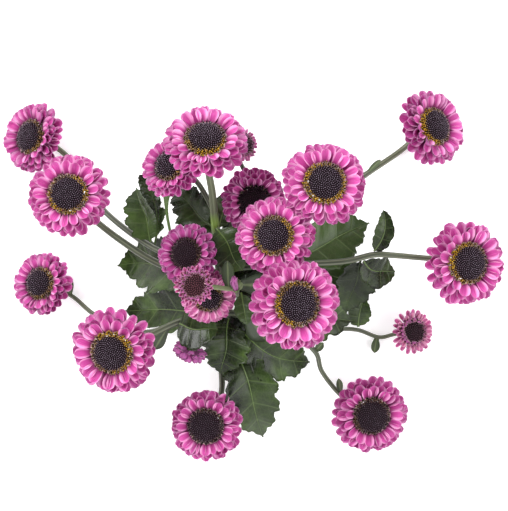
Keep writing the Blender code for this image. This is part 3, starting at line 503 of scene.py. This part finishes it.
bump = add_node(tree, "ShaderNodeBump", {"Strength": 0.6, "Distance": 0.0005, "Height": all_veins.outputs[0]}, invert=True)
grain = add_node(tree, "ShaderNodeTexNoise", {"Vector": spot, "Scale": 1500, "Detail": 2})
soft = add_node(tree, "ShaderNodeBump", {"Strength": 0.25, "Distance": 0.0002, "Height": grain.outputs[0], "Normal": bump.outputs[0]})
tree.links.new(soft.outputs[0], shader.inputs["Normal"])
shader.inputs["Roughness"].default_value = 0.27
shader.inputs["Specular IOR Level"].default_value = 0.3

PLAIN = {"leaf_09": 0.7, "leaf_11": 0.8}
FRESH = {"leaf_10": 0.2, "leaf_19": 0.25, "leaf_16": 0.1, "leaf_03": 0.3, "leaf_04": 0.3}
for number_of, (name, leaf) in enumerate(LEAVES.items()):
    make_piece(name + "_blade", [with_sides(leaf_skin(leaf, number_of), FRESH.get(name, 0.0), PLAIN.get(name, 0.0))], leaf_finish, name)
low_skins = [with_sides(leaf_skin(leaf, 40 + k, rows=48, columns=13), 0.8 if leaf[5] > 0.5 else 0.0, 0.75) for k, leaf in enumerate(LOW_LEAVES)]
make_piece("low_crown_leaves", low_skins, leaf_finish, None)

# Ray florets:
# Each head has four whorls of spoon-shaped ray florets round its eye: soft pink tissue, hollowed along the
# middle with paler rolled margins, mauve on the back, on the receptacle that they grow from.

# count, root radius in eye radii, root height, slope at root and tip in degrees, length, width, how hollow.
# Heights and lengths are shares of the head's width.
OPEN_WHORLS = (
    (17, 1.16, 0.000, 42, 8, 0.198, 0.146, 0.30),
    (18, 1.11, -0.026, 28, 0, 0.245, 0.150, 0.30),
    (20, 1.05, -0.050, 14, -10, 0.280, 0.152, 0.28),
    (21, 0.98, -0.074, 4, -22, 0.312, 0.154, 0.25),
)
QUILLED_WHORLS = (
    (24, 1.07, -0.010, 78, 60, 0.105, 0.078, 0.60),
    (25, 1.08, -0.030, 62, 46, 0.145, 0.082, 0.60),
    (19, 1.02, -0.055, 34, 14, 0.225, 0.116, 0.50),
    (19, 0.96, -0.075, 12, -8, 0.275, 0.126, 0.45),
)
HALF_OPEN_WHORLS = (
    (21, 1.08, -0.010, 88, 82, 0.085, 0.092, 0.70),
    (23, 1.12, -0.030, 80, 64, 0.130, 0.096, 0.65),
    (24, 1.14, -0.050, 68, 48, 0.170, 0.100, 0.60),
    (24, 1.10, -0.070, 54, 30, 0.215, 0.104, 0.55),
)
NODDING_WHORLS = (
    (9, 0.88, 0.000, 50, 20, 0.310, 0.25, 0.50),
    (9, 0.88, -0.040, 26, 0, 0.340, 0.27, 0.45),
    (9, 0.78, -0.075, 4, -24, 0.350, 0.27, 0.40),
)
CLOSED_WHORLS = (
    (5, 0.30, -0.05, 84, 96, 1.05, 0.36, 0.30),
    (6, 0.50, -0.10, 80, 97, 0.85, 0.40, 0.30),
)
EYE_SHARE = 0.205  # an eye's radius as a share of its head's width, and of the younger heads'
YOUNG_EYES = {"bloom_07": 0.245, "bloom_14": 0.215, "bloom_18": 0.262}
PALE_RIMS = {"bloom_18": 1.0, "bloom_14": 1.0, "bloom_07": 0.5, "bloom_19": 0.3}
FORM = {"bloom_18": HALF_OPEN_WHORLS, "bloom_20": NODDING_WHORLS, "bloom_07": QUILLED_WHORLS,
        "bloom_14": QUILLED_WHORLS, "bloom_21": CLOSED_WHORLS}

# Ray floret tissue: velvety pink, magenta along its hollows and towards the eye, where it ends in a pale
# claw, with lilac-white margins. The deep magenta next to the eye is partly the floret's own colour and partly painted
# shade where the whorls overlap, and whole heads low in the crown are darkened with painted shade. Its papillae give it
# a faint sheen.
ray_finish, tree, shader, (across, along, number, below, shade_and_darkening, pale) = new_finish("velvety_ray_floret")
# Partly painted shade: the deep magenta just outside the claw also stands for the shade where the whorls overlap.
floret_pink_and_base_shade = add_node(tree, "ShaderNodeValToRGB", {0: along},
               stops=((0.0, "#F2E6A6"), (1.0, "#D668B0"), (0.10, "#F0CFCB"), (0.19, "#720E4E"), (0.42, "#AC2A80"), (0.78, "#D04FA4")))
streak = add_node(tree, "ShaderNodeCombineXYZ", {
    0: add_node(tree, "ShaderNodeMath", {0: across, 1: 5}, operation="MULTIPLY").outputs[0],
    1: along,
    2: add_node(tree, "ShaderNodeMath", {0: number, 1: 3.7}, operation="MULTIPLY").outputs[0],
})
lines = add_node(tree, "ShaderNodeTexNoise", {"Vector": streak.outputs[0], "Scale": 1.6, "Detail": 2})
line_share = add_node(tree, "ShaderNodeValToRGB", {0: lines.outputs[0]}, stops=((0.40, 0.0), (0.72, 0.55)))
lined = add_node(tree, "ShaderNodeMix", {0: line_share.outputs[0], 6: floret_pink_and_base_shade.outputs[0], 7: linear("#8E1A66")}, data_type="RGBA")
edge = add_node(tree, "ShaderNodeMath", {0: across}, operation="ABSOLUTE")
outward = add_node(tree, "ShaderNodeValToRGB", {0: along}, stops=((0.20, 0.0), (0.55, 1.0)))
margin_ramp = add_node(tree, "ShaderNodeValToRGB", {0: edge.outputs[0]}, stops=((0.50, 0.0), (0.95, 1.0)))
margin = add_node(tree, "ShaderNodeMath", {0: outward.outputs[0], 1: margin_ramp.outputs[0]}, operation="MULTIPLY")
rimmed = add_node(tree, "ShaderNodeMix", {0: margin.outputs[0], 6: lined.outputs[2], 7: linear("#FFB6E4")}, data_type="RGBA")
pale_all = add_node(tree, "ShaderNodeValToRGB", {0: margin.outputs[0]}, stops=((0.0, 0.45), (1.0, 1.0)))
pale_rim = add_node(tree, "ShaderNodeMath", {0: pale, 1: pale_all.outputs[0]}, operation="MULTIPLY")
tipped = add_node(tree, "ShaderNodeMix", {0: pale_rim.outputs[0], 6: rimmed.outputs[2], 7: linear("#FBD0D4")}, data_type="RGBA")
back = add_node(tree, "ShaderNodeMix", {0: below, 6: tipped.outputs[2], 7: linear("#B5609F")}, data_type="RGBA")
# Painted shade: florets of heads low in the crown are multiplied towards a dark violet by their share.
painted_shade_petal = add_node(tree, "ShaderNodeMix", {0: shade_and_darkening, 6: back.outputs[2], 7: (0.36, 0.26, 0.38, 1)}, data_type="RGBA", blend_type="MULTIPLY")
tree.links.new(painted_shade_petal.outputs[2], shader.inputs["Base Color"])
bump = add_node(tree, "ShaderNodeBump", {"Strength": 0.3, "Distance": 0.0003, "Height": lines.outputs[0]})
tree.links.new(bump.outputs[0], shader.inputs["Normal"])
shader.inputs["Roughness"].default_value = 0.55
shader.inputs["Specular IOR Level"].default_value = 0.35
shader.inputs["Sheen Weight"].default_value = 0.06
shader.inputs["Subsurface Weight"].default_value = 0.12
shader.inputs["Subsurface Radius"].default_value = (0.0012, 0.0004, 0.0008)
shader.inputs["Subsurface Scale"].default_value = 1.0

for number_of, (name, bloom) in enumerate(BLOOMS.items()):
    at, lean, width, stalk, gold, shade_share, route = bloom
    draw = random.Random(name)
    to_head = head_matrix(bloom)
    size = width * MM
    bowl = stalk_skin([Vector((0, 0, -0.095 * size)), Vector((0, 0, -0.05 * size)), Vector((0, 0, -0.008 * size))],
                      [0.18 * size, 0.20 * size, 0.205 * size], 0, sides=24)
    skins = [with_kind((moved(bowl[0], to_head), bowl[1], bowl[2] * (1, 0, 1) + (0, 0.3, 0)), (0, 0.5, 0))]
    if name == "bloom_21":
        skins = []
    for tier, (count, radius, height, first, last, length, breadth, hollow) in enumerate(FORM.get(name, OPEN_WHORLS)):
        for k in range(count):
            turn = 2 * math.pi * (k + (0, 0.5, 0.1, 0.6)[tier] + draw.uniform(-0.22, 0.22)) / count
            tilt = draw.uniform(-8, 8)
            points, faces, values = petal_skin(
                length * size * draw.uniform(0.92, 1.05), breadth * size * draw.uniform(0.8, 1.18),
                (first + tilt, last + tilt + draw.uniform(-7, 7)), hollow * draw.uniform(0.7, 1.3),
                math.radians(draw.uniform(-11, 11)), 0.32 * MM, draw.uniform(0, 50), columns=9 if tier < 2 else 7,
            )
            root = Matrix.Translation((radius * YOUNG_EYES.get(name, EYE_SHARE) * size, 0, height * size))
            points = moved(points, to_head @ Matrix.Rotation(turn, 4, "Z") @ root)
            # Each floret gets its head's painted shade share with a random spread, clamped to 0..1.
            skin = with_sides((points, faces, values), min(1, max(0, shade_share + draw.uniform(-0.05, 0.22))))
            if name in PALE_RIMS:
                skin[3][:, 2] = PALE_RIMS[name] * (1.0, 0.9, 0.6, 0.4)[tier]
            skins.append(skin)
    make_piece(name + "_ray_florets", skins, ray_finish, name + "_rays")

# Disc florets:
# The eye of each head: hundreds of tiny tubular florets packed in spirals on a dome, plum-dark with paler
# mouths. The outermost have opened and show gold.

DISC_HEIGHT = 0.10
FLORET_ACROSS = 0.98 * MM
GOLDEN_TURN = math.pi * (3 - math.sqrt(5))
# Whole eyes darkened towards dark plum; on bloom_08 and bloom_17, heads low in the crown, this darkening is painted
# shade.
DARK_EYES = {"bloom_17": 0.8, "bloom_08": 0.9, "bloom_14": 0.5, "bloom_15": 0.45, "bloom_16": 0.45}
ROSY_EYES = {"bloom_18": 0.9, "bloom_14": 0.3, "bloom_07": 0.3}  # the youngest heads, still reddish
BUD = np.array([
    (math.cos(a) * r, math.sin(a) * r, h) for r, h in ((0.46, 0.0), (0.42, 0.55), (0.17, 1.0))
    for a in (0, math.pi / 2, math.pi, 3 * math.pi / 2)
])
BUD_FACES = np.concatenate([lattice(3, 4, closed=True), [[8, 9, 10, 11]]])


def dome_height(share):
    return DISC_HEIGHT * np.sqrt(np.clip(1 - 0.93 * share**2, 0, 1))


def floret_crowd(radius, turn, height, across, tall, slope, gold):
    """Many small buds as one skin, each standing square to the dome."""
    count = len(radius)
    normal = np.stack([slope * np.cos(turn), slope * np.sin(turn), np.ones(count)], -1)
    normal /= np.linalg.norm(normal, axis=1)[:, None]
    side = np.cross(normal, (0.3, 0.8, 0.1))
    side /= np.linalg.norm(side, axis=1)[:, None]
    other = np.cross(normal, side)
    centre = np.stack([radius * np.cos(turn), radius * np.sin(turn), height], -1)
    points = (
        centre[:, None]
        + side[:, None] * (BUD[None, :, :1] * across[:, None, None])
        + other[:, None] * (BUD[None, :, 1:2] * across[:, None, None])
        + normal[:, None] * (BUD[None, :, 2:] * tall[:, None, None])
    ).reshape(-1, 3)
    faces = (BUD_FACES[None] + (np.arange(count) * len(BUD))[:, None, None]).reshape(-1, 4)
    values = np.stack([np.repeat(gold, len(BUD)), np.tile(BUD[:, 2], count), np.repeat(np.arange(count) * 0.37, len(BUD))], -1)
    return points, faces, values


# Disc floret tissue: dry plum-brown tubes with lilac-grey mouths, gold with pollen where they have opened.
disc_finish, tree, shader, (gold_share, along, number, _, shade_and_darkening, young) = new_finish("plum_disc_floret")
plum = add_node(tree, "ShaderNodeValToRGB", {0: along}, stops=((0.0, "#060304"), (1.0, "#A596A6"), (0.62, "#150A10"), (0.84, "#33202B")))
pollen = add_node(tree, "ShaderNodeValToRGB", {0: along}, stops=((0.0, "#3A2606"), (1.0, "#D4AC3A"), (0.5, "#6E4A10"), (0.8, "#A27A1A")))
chance = add_node(tree, "ShaderNodeTexWhiteNoise", {"W": number}, noise_dimensions="1D")
duller = add_node(tree, "ShaderNodeMath", {0: chance.outputs["Value"], 1: 0.7}, operation="MULTIPLY")
tips = add_node(tree, "ShaderNodeMix", {0: duller.outputs[0], 6: plum.outputs[0], 7: linear("#2A1A24")}, data_type="RGBA")
rosy_share = add_node(tree, "ShaderNodeMath", {0: young, 1: along}, operation="MULTIPLY")
rosy = add_node(tree, "ShaderNodeMix", {0: rosy_share.outputs[0], 6: tips.outputs[2], 7: linear("#6A3E46")}, data_type="RGBA")
eye = add_node(tree, "ShaderNodeMix", {0: gold_share, 6: rosy.outputs[2], 7: pollen.outputs[0]}, data_type="RGBA")
# Eyes listed in DARK_EYES are darkened here; for bloom_08 and bloom_17 it is painted shade.
darkened_eye = add_node(tree, "ShaderNodeMix", {0: shade_and_darkening, 6: eye.outputs[2], 7: linear("#2C1C23")}, data_type="RGBA")
tree.links.new(darkened_eye.outputs[2], shader.inputs["Base Color"])
shader.inputs["Roughness"].default_value = 0.62
shader.inputs["Specular IOR Level"].default_value = 0.12

for number_of, (name, bloom) in enumerate(BLOOMS.items()):
    if name in ("bloom_20", "bloom_21"):
        continue
    at, lean, width, stalk, gold, shade_share, route = bloom
    draw = np.random.default_rng(number_of)
    size = width * MM
    rim = YOUNG_EYES.get(name, EYE_SHARE) * size
    to_head = head_matrix(bloom)
    count = int(1.12 * math.pi * rim**2 / FLORET_ACROSS**2)
    share = np.sqrt((np.arange(count) + 0.5) / count)
    turn = np.arange(count) * GOLDEN_TURN
    slope = 1.1 * share**2
    uphill = to_head.to_3x3().transposed() @ Vector((-math.cos(math.radians(lean[0])), -math.sin(math.radians(lean[0])), 0))
    raised_side = math.atan2(uphill.y, uphill.x)
    one_sided = min(1, lean[1] / 25)
    ripe = 1 + one_sided * np.cos(turn - raised_side)
    opened = np.clip((share - 1.0 + 0.10 * ripe) * 9, 0, 1) * gold * draw.uniform(0, 1, count) ** 0.7
    inner = floret_crowd(share * rim, turn, dome_height(share) * size, FLORET_ACROSS * draw.uniform(0.85, 1.1, count),
                         FLORET_ACROSS * draw.uniform(1.0, 1.4, count), slope, opened)
    rings = []
    for ring, spread in enumerate((0.96, 1.04, 1.12, 1.19)):
        count = int(2 * math.pi * spread * rim / (1.15 * MM))
        turn = (np.arange(count) + draw.uniform(-0.3, 0.3, count) + 0.5 * ring) * 2 * math.pi / count
        radius = rim * (spread + draw.uniform(-0.03, 0.03, count))
        patches = 0.85 + 0.3 * np.sin(2 * turn + number_of) + 0.2 * np.sin(5 * turn)
        ripe = 1 + one_sided * np.cos(turn - raised_side)
        shine = np.clip(gold * ripe * patches * draw.uniform(0.3, 1.3, count) * (1, 1, 1, 0.75)[ring], 0, 1)
        rings.append(floret_crowd(radius, turn, np.full(count, (0.020, 0.016, 0.010, 0.0)[ring] * size),
                                  1.2 * MM * draw.uniform(0.7, 1.25, count), 1.6 * MM * draw.uniform(0.6, 1.3, count),
                                  np.full(count, 0.25 + 0.2 * ring), shine))
    wall = stalk_skin([Vector((0, 0, dome_height(s) * size * 0.98)) for s in (1.0, 0.9, 0.7, 0.5, 0.25, 0.05)],
                      [s * rim for s in (1.0, 0.9, 0.7, 0.5, 0.25, 0.05)], 0, sides=24)
    dome = (wall[0], wall[1][:, ::-1], wall[2] * 0)
    foot = stalk_skin([Vector((0, 0, 0.3 * MM)), Vector((0, 0, dome_height(1.0) * size))], [rim, rim], 0, sides=24)
    skins = [with_kind((moved(s[0], to_head), s[1], s[2]), (0, DARK_EYES.get(name, 0), ROSY_EYES.get(name, 0))) for s in (inner, *rings, dome, (foot[0], foot[1], foot[2] * 0))]
    make_piece(name + "_disc_florets", skins, disc_finish, name + "_disc")

# Table, light and camera:
# The spray lies on a plain white table under soft light from all round, a little stronger from the upper
# left. The camera looks straight down on it from 0.9 m, with half a millimetre to the pixel at 90 mm up.

bpy.ops.mesh.primitive_plane_add(size=6)
table = bpy.context.object
table.name = "table"
paint = bpy.data.materials.new("white_table")
paint.use_nodes = True
paint.node_tree.nodes["Principled BSDF"].inputs["Base Color"].default_value = linear("#FBFBFB")
paint.node_tree.nodes["Principled BSDF"].inputs["Roughness"].default_value = 0.9
paint.node_tree.nodes["Principled BSDF"].inputs["Specular IOR Level"].default_value = 0.1
paint.node_tree.nodes["Principled BSDF"].inputs["Emission Color"].default_value = (1, 1, 1, 1)
paint.node_tree.nodes["Principled BSDF"].inputs["Emission Strength"].default_value = 0.32
table.data.materials.append(paint)

world = bpy.data.worlds.new("soft_room")
world.use_nodes = True
sky = world.node_tree.nodes["Background"]
way_up = add_node(world.node_tree, "ShaderNodeSeparateXYZ", {0: add_node(world.node_tree, "ShaderNodeTexCoord").outputs["Generated"]})
panels = add_node(world.node_tree, "ShaderNodeValToRGB", {0: way_up.outputs[2]},
                  stops=((0.0, 0.85), (0.90, 0.10), (0.30, 1.0), (0.62, 1.0)))
world.node_tree.links.new(panels.outputs[0], sky.inputs["Color"])
sky.inputs["Strength"].default_value = 1.8
bpy.context.scene.world = world
bpy.context.scene.view_settings.view_transform = "Standard"
for name, spot, power, size in (
    ("key_light", (-0.7, 0.6, 1.2), 17, 0.7), ("fill_light", (0.8, -0.3, 1.1), 8, 0.9),
):
    lamp = bpy.data.lights.new(name, "AREA")
    lamp.energy = power
    lamp.size = size
    light = bpy.data.objects.new(name, lamp)
    light.location = spot
    light.rotation_euler = (-Vector(spot)).to_track_quat("-Z", "Y").to_euler()
    bpy.context.scene.collection.objects.link(light)

camera = bpy.data.objects.new("camera", bpy.data.cameras.new("camera"))
camera.location = place((0, 10.75, 900))
camera.data.lens = 114.13
camera.data.clip_end = 20
bpy.context.scene.collection.objects.link(camera)
bpy.context.scene.camera = camera
